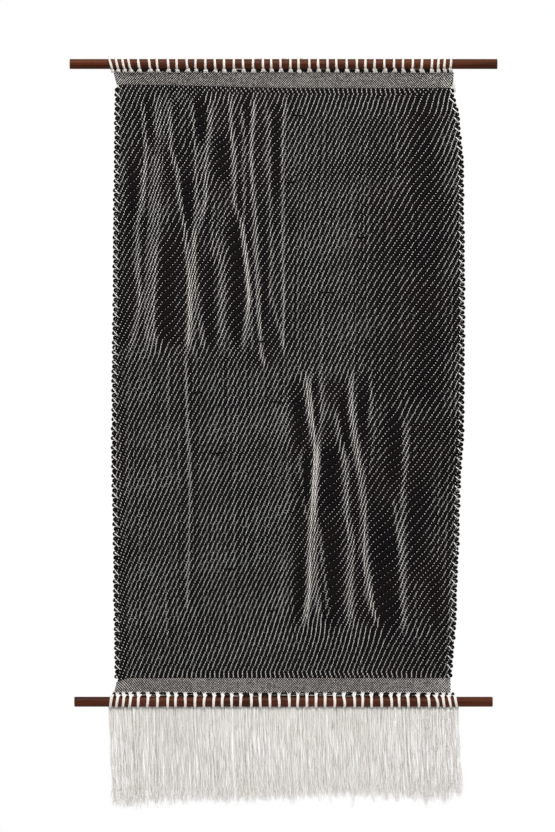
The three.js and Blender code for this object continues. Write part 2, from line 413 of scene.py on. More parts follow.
def warp_table(heights):
    """The x of every warp end at each height, from how closely the ends lie there."""
    ends = sizes().warp_ends
    rng = np.random.default_rng(11)
    stray = rng.normal(0, 1, (STRAYS, ends))
    knots = np.linspace(heights[0], heights[-1], STRAYS)
    out = np.empty((len(heights), ends))
    share = (np.arange(ends) + 0.5) / ends
    for row, z in enumerate(heights):
        (left,), (right,) = cloth_sides(np.array([z]))
        left, right = left + EDGE_INSET, right - EDGE_INSET
        x = np.linspace(left, right, ACROSS)
        close = np.ones_like(x)
        for half, gain, line in DRAWN_LINES:
            at = np.array(line, float)[::-1] * MM
            if not at[0, 1] <= z <= at[-1, 1]:
                continue
            inside = min(z - at[0, 1], at[-1, 1] - z)
            middle = np.interp(z, at[:, 1], at[:, 0])
            pull = LINE_PULL * gain * smooth(inside / LINE_FADE)
            close += pull * bump(x - middle, LINE_WIDTH * half * MM)
        for middle, height, half, tall, gone in OPEN_GAPS:
            t = (z / MM - height) / tall
            if abs(t) < 1:
                pull = GAP_PULL * gone * smooth(GAP_FULL * (1 - t * t))
                close -= pull * bump(x - middle * MM, half * MM)
        in_field = smooth((FIELD_TOP - z) / 0.01) * smooth((z - FIELD_FOOT) / 0.01)
        ease = smooth((FIELD_TOP - z) / 0.22) * smooth((z - FIELD_FOOT) / 0.12)
        ease = FIELD_EASE * (0.35 + 0.65 * ease)
        ease = ease * smooth((x - 0.09) / 0.09) * smooth((0.30 - x) / 0.06)
        close = np.clip(close, SPARSEST, CLOSEST) * (1 - ease)
        close = close * in_field + (1 - in_field)
        total = np.cumsum(close)
        total = (total - total[0]) / (total[-1] - total[0])
        place = np.interp(share, total, x)
        above = STRAYS - 1 - int(np.searchsorted(knots[::-1], z))
        k = min(max(above, 0), STRAYS - 2)
        t = smooth((knots[k] - z) / (knots[k] - knots[k + 1]))
        wander = stray[k] * (1 - t) + stray[k + 1] * t
        wander[0] = wander[-1] = 0
        loose = HEADER_STRAY + FIELD_STRAY * in_field
        risen = smooth((z - FIELD_TOP) / (CLOTH_TOP - FIELD_TOP))
        lean = np.interp(share, [0, 1], TOP_LEAN) * risen
        foot_lean = np.interp(share, [0, 0.3, 1], [FOOT_LEAN[0], 0, FOOT_LEAN[1]])
        lean = lean + foot_lean * smooth((FIELD_FOOT - z) / (FIELD_FOOT - CLOTH_FOOT))
        out[row] = place + lean + wander * loose * (right - left) / ends
    return out


class Cloth:
    """Where the warp ends and the wool's rows lie. Made once, by the first that asks."""

    made = None

    def __init__(self):
        self.levels = np.arange(CLOTH_TOP, CLOTH_FOOT - 0.003, -LEVEL_STEP)
        self.places = warp_table(self.levels)

    def warp_x(self, z):
        """x of every end (last axis) at heights z."""
        at = (self.levels[0] - np.asarray(z)) / LEVEL_STEP
        at = np.clip(at, 0, len(self.levels) - 1.001)
        k = at.astype(int)
        t = (at - k)[..., None]
        return self.places[k] * (1 - t) + self.places[k + 1] * t

    def pick_height(self, share, x):
        """Height of the wool at a share of the field's depth; rows wander a little."""
        top = FIELD_TOP + 5.5 * MM * (1 - smooth((x + 0.26) / 0.30))
        foot = FIELD_FOOT - 6 * MM * np.exp(-(((x + 0.268) / 0.012) ** 2))
        calm = np.clip(12 * share * (1 - share), 0, 1)
        wave = np.sin(23 * x + 31 * share) + 0.6 * np.sin(47 * x - 19 * share + 1.3)
        wave += 0.5 * np.sin(9 * x + 83 * share)
        return top + (foot - top) * share + 0.35 * MM * wave * calm

    def header_height(self, upper, share, x):
        """Height in a header at a share of its depth."""
        if upper:
            top = CLOTH_TOP + 1.2 * MM * (1 - smooth((x + 0.26) / 0.5))
            foot = self.pick_height(0.0, x)
        else:
            top = self.pick_height(1.0, x)
            foot = CLOTH_FOOT - 2.4 * MM + 0.5 * MM * np.sin(21 * x)
        return top + (foot - top) * share


def cloth():
    Cloth.made = Cloth.made or Cloth()
    return Cloth.made


FRONT_EVERY = 4  # a warp end shows once in this many rows
SHOWS, PASSES, HIDES = -1.4 * MM, 2.0 * MM, 2.4 * MM  # depth of an end as it weaves
SLANT = 0.35 * MM  # each show of an end leans over by this much


def spacing_of(x):
    """How far apart the ends lie at each end, against the 30 or so round it."""
    gap = np.gradient(x, axis=-1)
    wide = np.pad(gap, [(0, 0)] * (x.ndim - 1) + [(16, 16)], mode="edge")
    total = np.cumsum(wide, axis=-1)
    mean = (total[..., 32:] - total[..., :-32]) / 32
    usual = 0.5 * mean + 0.5 * (x[..., -1:] - x[..., :1]) / (x.shape[-1] - 1)
    return gap / usual


def wool_band(first, last, rng):
    """The path of the wool from row first up to row last, turning at each selvedge."""
    s, c = sizes(), cloth()
    path, high_half, deep_half = [], [], []
    ends = np.arange(s.warp_ends)
    for row in range(first, last):
        share = (row + 0.5) / s.weft_picks
        x = c.warp_x(field_height(share))
        z = c.pick_height(share, x)
        under = (ends + row) % FRONT_EVERY == 0
        middle = (ends + row) % FRONT_EVERY == 2
        gap = np.clip(spacing_of(x), 0.4, 2.5)
        gap = np.where(gap < 1, gap**0.42, gap**0.28)
        y = np.where(under, 0.5 * MM, -0.7 * MM) - middle * 0.2 * MM
        swell = 1 + 0.05 * np.sin(ends * 0.37 + row * 2.1) + rng.normal(0, 0.025, len(ends))
        tall = np.where(under, 0.8, 1.0) * s.weft_height / 2 * swell * gap
        deep = np.where(under, 0.75, 1.0) * s.weft_depth / 2 * swell * gap
        points = spot(x, y, z)
        if row % 2:
            points, tall, deep = points[::-1], tall[::-1], deep[::-1]
        path.append(points)
        high_half.append(tall)
        deep_half.append(deep)
        if row + 1 < s.weft_picks:
            way = -1 if row % 2 else 1
            below = c.pick_height((row + 1.5) / s.weft_picks, points[-1, 0])
            proud = (row // 2) % 2 == (0 if way > 0 else 1)
            out = (3.9 if proud else 2.7) * MM + rng.uniform(-0.5, 0.7) * MM
            reach = np.array([0.5, 0.85, 1.0, 0.95, 0.5]) * out
            fall = np.array([0.02, 0.25, 0.6, 0.92, 1.02])
            sway = np.array([-0.5, -0.4, -0.2, -0.3, -0.5]) * MM + rng.uniform(-0.4, 0.4) * MM
            turn = spot(
                points[-1, 0] + way * reach, sway, points[-1, 2] + (below - points[-1, 2]) * fall,
            )
            path.append(turn)
            high_half.append(np.full(5, 0.45 * s.weft_height))
            deep_half.append(np.full(5, 0.5 * s.weft_depth))
    return tuple(np.concatenate(part)[None] for part in (path, high_half, deep_half))


def warp_band(yarns, first, last, rng):
    """Every warp end from row first to row last: in front of one row, behind the next three."""
    s, c = sizes(), cloth()
    for kind in range(FRONT_EVERY):
        ends = np.arange(kind, s.warp_ends, FRONT_EVERY)
        shows = [r for r in range(first - 6, last + 7) if (r + kind) % FRONT_EVERY == 0]
        at, depth, aside = [], [], []
        for row in shows:
            at += [row, row + 0.5, row + 1, row + 2.5]
            depth += [PASSES, SHOWS, PASSES, HIDES]
            aside += [-SLANT, 0, SLANT, 0]
        inside = [r for r in at if first < r < last]
        rows = np.array([first, *inside, last], float)
        y = np.interp(rows, at, depth)[:, None]
        slant = np.interp(rows, at, aside)[:, None]
        share = rows / s.weft_picks
        x = c.warp_x(field_height(share))[:, ends]
        z = c.pick_height(share[:, None], x)
        gap = spacing_of(c.warp_x(field_height(share)))[:, ends]
        keep = (ends > 0) & (ends < s.warp_ends - 1)
        lift = np.where((ends // FRONT_EVERY) % 2 == 0, 1.0, -1.0)[None, :]
        crowd = np.clip(1 - gap, 0, 1) * 0.35 * MM * lift
        open_by = np.clip(gap - 1, -0.7, 1.2)
        sunk = np.where(y < 0, 0.35, 0.5) * open_by
        sunk = sunk + np.where(y < 0, 0.4, 2.4) * open_by.clip(max=0)
        sunk = (y < HIDES * 0.9) * sunk * MM + (y < 0) * rng.normal(0, 0.14 * MM, gap.shape)
        slant = slant * np.clip(gap, 0.3, 1.0)
        paths = np.stack([x + slant, y + crowd + sunk, z], axis=2).transpose(1, 0, 2)
        pinch = np.where(y < 0, 1.0, 0.35 - 0.9 * open_by.clip(max=0))
        wide = s.warp_width / 2 * pinch * (1 - 0.22 * open_by)
        yarns.add(
            paths[keep], wide.T[keep], 0.45 * s.warp_width * pinch.T[keep],
            shade=rng.uniform(0, 1, keep.sum()),
        )


def edge_ends(yarns, first, last):
    """The outermost end on each side, which slants over the wool's turns."""
    s, c = sizes(), cloth()
    rng = np.random.default_rng(29 + first)
    for end in (0, s.warp_ends - 1):
        at, depth, out = [], [], []
        for row in range(first - 6, last + 7):
            if (row + end) % FRONT_EVERY:
                continue
            top, foot = rng.uniform(-0.6, 0.1), rng.uniform(1.1, 1.6)
            at += [row + top - 0.4, row + top, row + foot, row + foot + 0.4, row + 2.5]
            depth += [0.4, -2.4, -2.4, 0.4, 1.4]
            out += [-2.2, -2.0, 3.6, 3.8, 0.2] if end == 0 else [-3.8, -3.6, 2.0, 2.2, 0.2]
        inside = [r for r in at if first < r < last]
        rows = np.array([first, *inside, last], float)
        share = rows / s.weft_picks
        fade = smooth(share / 0.008) * smooth((1 - share) / 0.008)
        x = c.warp_x(field_height(share))[:, end]
        x = x + np.interp(rows, at, out) * MM * fade
        paths = np.stack([x, np.interp(rows, at, depth) * MM, c.pick_height(share, x)], axis=1)
        yarns.add(paths[None], 0.4 * s.warp_width, 0.33 * s.warp_width, shade=0.5)


def joins(yarns, first, last):
    """Tails left lying on the front where one length of wool ends and the next begins."""
    paths = []
    for x, z in JOINS:
        row = (FIELD_TOP - z * MM) / (FIELD_TOP - FIELD_FOOT) * sizes().weft_picks
        if not first < row < last:
            continue
        across = np.linspace(-9, 9, 7)
        drop = 0.7 * np.sin(across / 5 + x)
        y = -2.5 - 0.35 * np.cos(across / 9 * np.pi / 2)
        paths.append(np.stack([x + across, y, z + drop], axis=1) * MM)
    if paths:
        yarns.add(np.array(paths), 1.3 * MM, 0.8 * MM, ROUND_FRONT)


def field_depth_at(row):
    """The depth of every end at a row boundary of the field, so that headers meet it."""
    ends = np.arange(sizes().warp_ends)
    phase = (row + ends) % FRONT_EVERY
    return np.interp(phase, [0, 1, 2.5, 4], [PASSES, PASSES, HIDES, PASSES])


# ---- Materials ----
def node(tree, kind, **values):
    made = tree.nodes.new(kind)
    for key, value in values.items():
        setattr(made, key, value)
    return made


def maths(tree, operation, first, second=None, clamp=False):
    made = node(tree, "ShaderNodeMath", operation=operation, use_clamp=clamp)
    for socket, value in zip(made.inputs, (first, second)):
        if value is None:
            continue
        if isinstance(value, (int, float)):
            socket.default_value = value
        else:
            tree.links.new(value, socket)
    return made.outputs[0]


def blended(tree, factor, first, second):
    made = node(tree, "ShaderNodeMix", data_type="RGBA")
    sockets = (made.inputs[0], made.inputs[6], made.inputs[7])
    for socket, value in zip(sockets, (factor, first, second)):
        if isinstance(value, bpy.types.NodeSocket):
            tree.links.new(value, socket)
        else:
            socket.default_value = value
    return made.outputs[2]


def set_inputs(made, **values):
    for key, value in values.items():
        made.inputs[key.replace("_", " ")].default_value = value


def group(name, inputs, outputs):
    tree = bpy.data.node_groups.new(name, "ShaderNodeTree")
    for title, kind, value in inputs:
        socket = tree.interface.new_socket(title, in_out="INPUT", socket_type=kind)
        socket.default_value = value
    for title, kind in outputs:
        tree.interface.new_socket(title, in_out="OUTPUT", socket_type=kind)
    return tree, node(tree, "NodeGroupInput").outputs, node(tree, "NodeGroupOutput").inputs


def yarn_twist():
    """Plies twisted along a yarn, with loose fibres over them, and painted shade in the grooves
    between the plies.
    """
    made = bpy.data.node_groups.get("Yarn twist")
    if made:
        return made
    tree, given, out = group(
        "Yarn twist",
        [
            ("Colour", "NodeSocketColor", (0.8, 0.8, 0.8, 1)),
            # The groove colour is painted shade for the grooves between the plies.
            ("Groove colour", "NodeSocketColor", (0.5, 0.5, 0.5, 1)),
            ("Plies", "NodeSocketFloat", 4.0),
            ("Turns per cm", "NodeSocketFloat", 2.0),
            ("Fuzz", "NodeSocketFloat", 0.5),
            ("Shade range", "NodeSocketFloat", 0.1),
        ],
        [
            ("Colour", "NodeSocketColor"), ("Height", "NodeSocketFloat"),
            ("Roughness", "NodeSocketFloat"),
        ],
    )
    place = node(tree, "ShaderNodeUVMap", uv_map="Yarn").outputs[0]
    split = node(tree, "ShaderNodeSeparateXYZ")
    tree.links.new(place, split.inputs[0])
    turns = maths(tree, "MULTIPLY", split.outputs[0], given["Turns per cm"])
    phase = maths(tree, "MULTIPLY", maths(tree, "ADD", turns, split.outputs[1]), given["Plies"])
    wave = maths(tree, "SINE", maths(tree, "MULTIPLY", phase, math.pi))
    ridge = maths(tree, "ABSOLUTE", wave)
    stretched = node(tree, "ShaderNodeCombineXYZ")
    tree.links.new(maths(tree, "MULTIPLY", split.outputs[0], 9.0), stretched.inputs[0])
    tree.links.new(maths(tree, "MULTIPLY", phase, 3.0), stretched.inputs[1])
    fibre = node(tree, "ShaderNodeTexNoise", noise_dimensions="2D")
    set_inputs(fibre, Scale=1.0, Detail=3.0)
    tree.links.new(stretched.outputs[0], fibre.inputs["Vector"])
    hairs = maths(tree, "MULTIPLY", maths(tree, "SUBTRACT", fibre.outputs[0], 0.5), given["Fuzz"])
    height = maths(tree, "ADD", ridge, hairs)
    tree.links.new(height, out["Height"])
    shade = node(tree, "ShaderNodeAttribute", attribute_name="shade").outputs["Fac"]
    spread = maths(tree, "MULTIPLY", maths(tree, "SUBTRACT", shade, 0.5), given["Shade range"])
    # Painted shade: the grooves between the plies are mixed towards the groove colour, on top of
    # each strand's own random tone.
    groove_shade = maths(tree, "POWER", maths(tree, "SUBTRACT", 1.0, ridge, clamp=True), 2.0)
    groove_shade_and_tone = maths(tree, "ADD", maths(tree, "MULTIPLY", groove_shade, 0.6), spread, clamp=True)
    tree.links.new(blended(tree, groove_shade_and_tone, given["Colour"], given["Groove colour"]), out["Colour"])
    rough = maths(tree, "ADD", 0.85, maths(tree, "MULTIPLY", hairs, 0.2), clamp=True)
    tree.links.new(rough, out["Roughness"])
    return tree


def patches():
    """Slow changes over the cloth, the same on its front and back."""
    made = bpy.data.node_groups.get("Dye patches")
    if made:
        return made
    tree, given, out = group(
        "Dye patches",
        [
            ("Colour", "NodeSocketColor", (0.5, 0.5, 0.5, 1)),
            ("Other colour", "NodeSocketColor", (0.4, 0.4, 0.4, 1)),
            ("Scale", "NodeSocketFloat", 20.0),
            ("Amount", "NodeSocketFloat", 0.5),
        ],
        [("Colour", "NodeSocketColor"), ("Mask", "NodeSocketFloat")],
    )
    place = node(tree, "ShaderNodeTexCoord").outputs["Object"]
    flat = node(tree, "ShaderNodeMapping")
    flat.inputs["Scale"].default_value = (1.0, 0.0, 1.0)
    tree.links.new(place, flat.inputs["Vector"])
    noise = node(tree, "ShaderNodeTexNoise")
    noise.inputs["Detail"].default_value = 2.0
    tree.links.new(flat.outputs[0], noise.inputs["Vector"])
    tree.links.new(given["Scale"], noise.inputs["Scale"])
    spread = node(tree, "ShaderNodeMapRange")
    set_inputs(spread, From_Min=0.38, From_Max=0.62)
    tree.links.new(noise.outputs[0], spread.inputs["Value"])
    mask = maths(tree, "MULTIPLY", spread.outputs[0], given["Amount"], clamp=True)
    tree.links.new(mask, out["Mask"])
    tree.links.new(blended(tree, mask, given["Colour"], given["Other colour"]), out["Colour"])
    return tree


def placed(tree, made, **values):
    holder = node(tree, "ShaderNodeGroup", node_tree=made)
    for key, value in values.items():
        socket = holder.inputs[key.replace("_", " ")]
        if isinstance(value, bpy.types.NodeSocket):
            tree.links.new(value, socket)
        else:
            socket.default_value = value
    return holder.outputs


def new_material(name):
    made = bpy.data.materials.new(name)
    made.use_nodes = True
    return made, made.node_tree, made.node_tree.nodes["Principled BSDF"]


def bumped(tree, shader, height, distance, strength):
    made = node(tree, "ShaderNodeBump")
    set_inputs(made, Strength=strength, Distance=distance)
    tree.links.new(height, made.inputs["Height"])
    tree.links.new(made.outputs[0], shader.inputs["Normal"])


# groove is the painted shade colour for the grooves between the plies.
def yarn_material(name, colour, groove_shade, other, plies, turns, fuzz, sheen, bump_mm, shade_range=0.1,
                  patch_scale=18.0, patch_amount=0.5, specular=0.2):
    found = bpy.data.materials.get(name)
    if found:
        return found
    made, tree, shader = new_material(name)
    dye = placed(
        tree, patches(), Colour=rgba(colour), Other_colour=rgba(other), Scale=patch_scale,
        Amount=patch_amount,
    )
    twist = placed(
        tree, yarn_twist(), Colour=dye["Colour"], Groove_colour=rgba(groove_shade), Plies=plies,
        Turns_per_cm=turns, Fuzz=fuzz, Shade_range=shade_range,
    )
    tree.links.new(twist["Colour"], shader.inputs["Base Color"])
    tree.links.new(twist["Roughness"], shader.inputs["Roughness"])
    set_inputs(shader, Specular_IOR_Level=specular, Sheen_Weight=sheen, Sheen_Roughness=0.5)
    bumped(tree, shader, twist["Height"], bump_mm * MM, 0.7)
    return made


def wool():
    c = colours()
    # The half-dark wool is painted shade in the grooves between its plies.
    return yarn_material(
        "Black wool", c.wool, [v * 0.5 for v in c.wool], c.wool_warm, 2.0, 1.0, 1.4, 0.015, 0.30,
        patch_scale=9.0, patch_amount=0.8, specular=0.06,
    )


def header_wool():
    c = colours()
    # The half-dark wool is painted shade in the grooves between its plies.
    return yarn_material(
        "Fine black weft", c.wool_warm, [v * 0.5 for v in c.wool], c.wool, 2.0, 3.0, 0.8, 0.015,
        0.12, patch_scale=9.0, patch_amount=0.8, specular=0.1,
    )


def cotton():
    c = colours()
    # The cotton's groove colour is painted shade between its plies.
    return yarn_material(
        "White cotton", c.cotton, c.cotton_shade, [v * 0.93 for v in c.cotton], 4.0, 2.2, 0.8, 0.05,
        0.14, shade_range=0.2,
    )


def fringe_cotton():
    c = colours()
    # The darkened fringe colour is painted shade in the grooves between its plies.
    return yarn_material(
        "Fringe cotton", c.fringe, [v * 0.9 for v in c.fringe],
        [c.fringe[0] * 0.97, c.fringe[1] * 0.95, c.fringe[2] * 0.93], 1.0, 1.6, 1.6, 0.05, 0.08,
        shade_range=0.5, patch_scale=40.0,
    )


def wood(end_grain=False):
    name = "Stained wood, end" if end_grain else "Stained wood"
    found = bpy.data.materials.get(name)
    if found:
        return found
    c = colours()
    made, tree, shader = new_material(name)
    place = node(tree, "ShaderNodeTexCoord").outputs["Object"]
    stretch = node(tree, "ShaderNodeMapping")
    stretch.inputs["Scale"].default_value = (300, 300, 300) if end_grain else (5, 240, 240)
    tree.links.new(place, stretch.inputs["Vector"])
    grain = node(tree, "ShaderNodeTexNoise")
    set_inputs(grain, Scale=1.0, Detail=6.0, Roughness=0.6)
    tree.links.new(stretch.outputs[0], grain.inputs["Vector"])
    spread = node(tree, "ShaderNodeMapRange")
    set_inputs(spread, From_Min=0.35, From_Max=0.65)
    tree.links.new(grain.outputs[0], spread.inputs["Value"])
    dark = [v * (0.4 if end_grain else 1.0) for v in c.wood_dark]
    stain = blended(tree, spread.outputs[0], rgba(dark), rgba(c.wood))
    slow = placed(
        tree, patches(), Colour=stain, Other_colour=rgba([v * 1.35 for v in c.wood]), Scale=7.0,
        Amount=0.45,
    )
    tree.links.new(slow["Colour"], shader.inputs["Base Color"])
    rough = maths(tree, "ADD", 0.34, maths(tree, "MULTIPLY", spread.outputs[0], 0.14))
    tree.links.new(rough, shader.inputs["Roughness"])
    set_inputs(shader, Specular_IOR_Level=0.06, Coat_Weight=0.03, Coat_Roughness=0.12)
    bumped(tree, shader, spread.outputs[0], 0.08 * MM, 0.5)
    return made


# ---- Operators ----
class HANGING_OT_stage(bpy.types.Operator):
    """Camera square on to the hanging, soft studio lights and a small pale floor"""
    bl_idname = "hanging.stage"
    bl_label = "Stage"

    def execute(self, context):
        scene = context.scene
        scene.view_settings.view_transform = "Standard"
        frame_tall, frame_x, frame_z = 1.3312, -0.0096, -0.5632
        data = bpy.data.cameras.new("Camera")
        data.lens = 170
        data.sensor_width = 36
        away = frame_tall * data.lens / data.sensor_width
        data.clip_end = 60
        camera = bpy.data.objects.new("Camera", data)
        camera.location = (frame_x, -away, frame_z)
        camera.rotation_euler = (math.pi / 2, 0, 0)
        scene.collection.objects.link(camera)
        scene.camera = camera

        bpy.ops.object.select_all(action="DESELECT")
        bpy.ops.mesh.primitive_plane_add(size=1, location=(0, 0, 0))
        floor = context.object
        floor.name = "floor"
        bpy.ops.object.mode_set(mode="EDIT")
        bpy.ops.transform.resize(value=(2.4, 1.6, 1))
        bpy.ops.transform.translate(value=(0, -0.2, -1.36))
        bpy.ops.mesh.subdivide(number_cuts=3)
        bpy.ops.object.mode_set(mode="OBJECT")
        made, tree, shader = new_material("Pale floor")
        shader.inputs["Roughness"].default_value = 0.8
        dust = placed(
            tree, patches(), Colour=rgba(colours().floor),
            Other_colour=rgba([v * 0.97 for v in colours().floor]), Scale=2.0, Amount=0.5,
        )
        tree.links.new(dust["Colour"], shader.inputs["Base Color"])
        floor.data.materials.append(made)

        self.light("Key softbox", (-0.45, -2.3, 2.6), (0, 0, -0.45), (2.6, 1.4), 125)
        self.light("Fill softbox", (1.4, -3.4, -0.4), (0, 0, -0.6), (1.6, 2.2), 15)
        self.light("Overhead strip", (0.075, -0.55, 0.95), (0.05, 0, 0), (0.34, 0.10), 2.5)
        self.light("Low strip", (0.075, -0.9, 0.15), (0.05, 0, -1.02), (0.60, 0.10), 3)

        world = bpy.data.worlds.new("White surround")
        world.use_nodes = True
        tree = world.node_tree
        seen = tree.nodes["Background"]
        set_inputs(seen, Color=(1, 1, 1, 1), Strength=1.0)
        lit = node(tree, "ShaderNodeBackground")
        way = node(tree, "ShaderNodeTexCoord").outputs["Generated"]
        split = node(tree, "ShaderNodeSeparateXYZ")
        tree.links.new(way, split.inputs[0])
        rise = maths(tree, "ADD", maths(tree, "MULTIPLY", split.outputs[2], 0.5), 0.5, clamp=True)
        tint = blended(tree, rise, (0.02, 0.02, 0.02, 1), (0.86, 0.87, 0.89, 1))
        tree.links.new(tint, lit.inputs["Color"])
        path = node(tree, "ShaderNodeLightPath")
        pick = node(tree, "ShaderNodeMixShader")
        tree.links.new(path.outputs["Is Camera Ray"], pick.inputs[0])
        tree.links.new(lit.outputs[0], pick.inputs[1])
        tree.links.new(seen.outputs[0], pick.inputs[2])
        tree.links.new(pick.outputs[0], tree.nodes["World Output"].inputs["Surface"])
        scene.world = world
        return {"FINISHED"}

    def light(self, name, place, target, size, power):
        data = bpy.data.lights.new(name, "AREA")
        data.shape = "RECTANGLE"
        data.size, data.size_y = size
        data.energy = power
        lamp = bpy.data.objects.new(name, data)
        lamp.location = place
        way = Vector(target) - Vector(place)
        lamp.rotation_euler = way.to_track_quat("-Z", "Y").to_euler()
        lamp.visible_camera = False
        bpy.context.scene.collection.objects.link(lamp)


class HANGING_OT_dowels(bpy.types.Operator):
    """The two stained dowels, with softened sawn ends"""
    bl_idname = "hanging.dowels"
    bl_label = "Dowels"

    def execute(self, context):
        for node_name, body in (("top_dowel", "top_bar"), ("bottom_dowel", "bottom_dowel")):
            piece = self.rod(context, node_name)
            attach(piece, body)
            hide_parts(node_name)
        return {"FINISHED"}

    def rod(self, context, node_name):
        lowest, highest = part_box(node_name)
        middle = (lowest + highest) / 2
        bpy.ops.object.select_all(action="DESELECT")
        bpy.ops.mesh.primitive_cylinder_add(
            vertices=96, radius=ROD_RADIUS, depth=highest.x - lowest.x, end_fill_type="NGON",
            location=middle, rotation=(0, math.pi / 2, 0),
        )
        rod = context.object
        rod.name = node_name + "_rod"
        bpy.ops.object.transform_apply(location=True, rotation=True, scale=True)
        rod.data.materials.append(wood())
        rod.data.materials.append(wood(end_grain=True))
        bpy.ops.object.mode_set(mode="EDIT")
        bpy.ops.mesh.select_mode(type="FACE")
        bpy.ops.mesh.select_all(action="DESELECT")
        mesh = bmesh.from_edit_mesh(rod.data)
        for face in mesh.faces:
            face.select_set(abs(face.normal.x) > 0.9)
            face.material_index = 1 if abs(face.normal.x) > 0.9 else 0
        bmesh.update_edit_mesh(rod.data)
        bpy.ops.mesh.region_to_loop()
        bpy.ops.mesh.bevel(offset=0.8 * MM, segments=3, profile=0.6)
        bpy.ops.mesh.select_mode(type="FACE")
        bpy.ops.mesh.select_all(action="DESELECT")
        mesh = bmesh.from_edit_mesh(rod.data)
        for face in mesh.faces:
            face.select_set(len(face.verts) > 8)
        bmesh.update_edit_mesh(rod.data)
        for step in (1.6 * MM, 2.0 * MM, 2.0 * MM):
            bpy.ops.mesh.inset(thickness=step, use_individual=True)
        bpy.ops.mesh.poke()
        bpy.ops.mesh.select_all(action="SELECT")
        bpy.ops.mesh.normals_make_consistent(inside=False)
        bpy.ops.object.mode_set(mode="OBJECT")
        bpy.ops.object.shade_smooth_by_angle(angle=math.radians(35))
        return rod


JOINS = (
    (23, -82), (12, -189), (127, -278), (71, -366), (-36, -445), (-10, -541), (-138, -526),
    (-108, -622), (-86, -808), (-18, -875),
)  # where a new length of wool was laid in, x and z in mm
BANDS = (0, 55, 110, 140, 195, 250)  # rows of wool at which the field is cut into pieces


class HANGING_OT_field(bpy.types.Operator):
    """The black wool field over its cotton warp, woven row by row"""
    bl_idname = "hanging.field"
    bl_label = "Woven field"

    def execute(self, context):
        for index, (first, last) in enumerate(zip(BANDS, BANDS[1:])):
            rng = np.random.default_rng(100 + index)
            weft, warp = Yarns(), Yarns()
            path, tall, deep = wool_band(first, last, rng)
            weft.add(path, tall, deep, ROUND_FRONT)
            joins(weft, first, last)
            warp_band(warp, first, last, rng)
            edge_ends(warp, first, last)
            number = index + 1
            wool_piece = weft.mesh("wool_weft_%d" % number, wool())
            warp_piece = warp.mesh("cotton_warp_%d" % number, cotton())
            for piece in (wool_piece, warp_piece):
                if first < sizes().weft_picks / 2 < last:
                    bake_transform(piece)
                else:
                    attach(piece, "upper_cloth" if index < 2 else "lower_cloth")
            if index < 2:
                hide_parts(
                    "upper_field", "upper_left_selvedge", "upper_right_selvedge",
                )
            if index > 2:
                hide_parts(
                    "lower_field", "lower_left_selvedge", "lower_right_selvedge",
                )
        return {"FINISHED"}


class HANGING_OT_headers(bpy.types.Operator):
    """The plain-weave bands at both ends of the cloth"""
    bl_idname = "hanging.headers"
    bl_label = "Headers"

    def execute(self, context):
        for upper, cad_node in ((True, "top_header"), (False, "lower_header")):
            weft_piece, warp_piece = self.header(upper, cad_node)
            for piece in (weft_piece, warp_piece):
                if upper:
                    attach(piece, "upper_cloth")
                else:
                    bend_at_foot(piece)
            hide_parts(cad_node)
        return {"FINISHED"}

    def header(self, upper, cad_node):
        s, c = sizes(), cloth()
        rng = np.random.default_rng(21 if upper else 22)
        lowest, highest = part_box(cad_node)
        picks = round((highest.z - lowest.z) / s.header_pick)
        ends = np.arange(s.warp_ends)
        path = []
        for row in range(picks):
            share = (row + 0.5) / picks
            x = c.warp_x(np.array([highest.z - (highest.z - lowest.z) * share]))[0]
            y = np.where((ends + row) % 2 == 0, 0.38, -0.38) * MM
            points = np.stack([x, y, c.header_height(upper, share, x)], axis=1)
            points[:, 2] += rng.normal(0, 0.04 * MM, len(ends))
            if row % 2:
                points = points[::-1]
            path.append(points)
            if row + 1 < picks:
                way = -1 if row % 2 else 1
                below = c.header_height(upper, (row + 1.5) / picks, points[-1, 0])
                reach = np.array([0.7, 1.2, 0.7]) * (1.0 + rng.uniform(-0.2, 0.5)) * MM
                fall = np.array([0.05, 0.5, 0.95])
                turn = spot(
                    points[-1, 0] + way * reach, 0.0, points[-1, 2] + (below - points[-1, 2]) * fall,
                )
                path.append(turn)
        weft = Yarns()
        path = np.concatenate(path)[None]
        weft.add(path, 0.60 * s.header_pick, 0.5 * MM, ROUND_FRONT)
        warp = Yarns()
        rows = np.unique(np.concatenate([[0.0], np.arange(picks) + 0.5, [float(picks)]]))
        share = rows / picks
        x = c.warp_x(highest.z - (highest.z - lowest.z) * share)
        z = c.header_height(upper, share[:, None], x)
        front = (ends[None, :] + np.floor(rows)[:, None]) % 2 == 0
        y = np.where(front, -0.72, 0.72) * MM
        meets = field_depth_at(0 if upper else s.weft_picks)
        if upper:
            y[0], y[-1] = 0.0, meets
        else:
            y[0], y[-1] = meets, 0.0
        paths = np.stack([x, y, z], axis=2).transpose(1, 0, 2)
        edge = np.minimum(ends, ends[::-1])[:, None]
        wide = s.warp_width * (0.25 + 0.10 * np.exp(-((edge / 9) ** 2)))
        wide = wide * rng.uniform(0.5, 1.5, paths.shape[:2])
        warp.add(paths, wide, 0.24 * s.warp_width, shade=rng.uniform(0, 1, s.warp_ends))
        stem = "top" if upper else "lower"
        return (
            weft.mesh(stem + "_header_weft", header_wool()),
            warp.mesh(stem + "_header_warp", cotton()),
        )


def bunches(nodes, seed, lean=0.0):
    """The middles of a row of hand-tied bunches, which never quite keep their spacing."""
    middles = bunch_middles(nodes, sizes().bunch_width)
    stray = np.clip(np.random.default_rng(seed).normal(0, 1.1, len(middles)), -2, 2) * MM
    stray[:3] = stray[-3:] = 0
    return middles + stray + lean


def shared_out(middles):
    """Which bunch each warp end goes to, and its place in it from -1 to 1."""
    ends = sizes().warp_ends
    bunch = np.minimum((np.arange(ends) * len(middles)) // ends, len(middles) - 1)
    place = np.zeros(ends)
    for k in range(len(middles)):
        members = np.flatnonzero(bunch == k)
        place[members] = np.linspace(-1, 1, len(members))
    return bunch, place


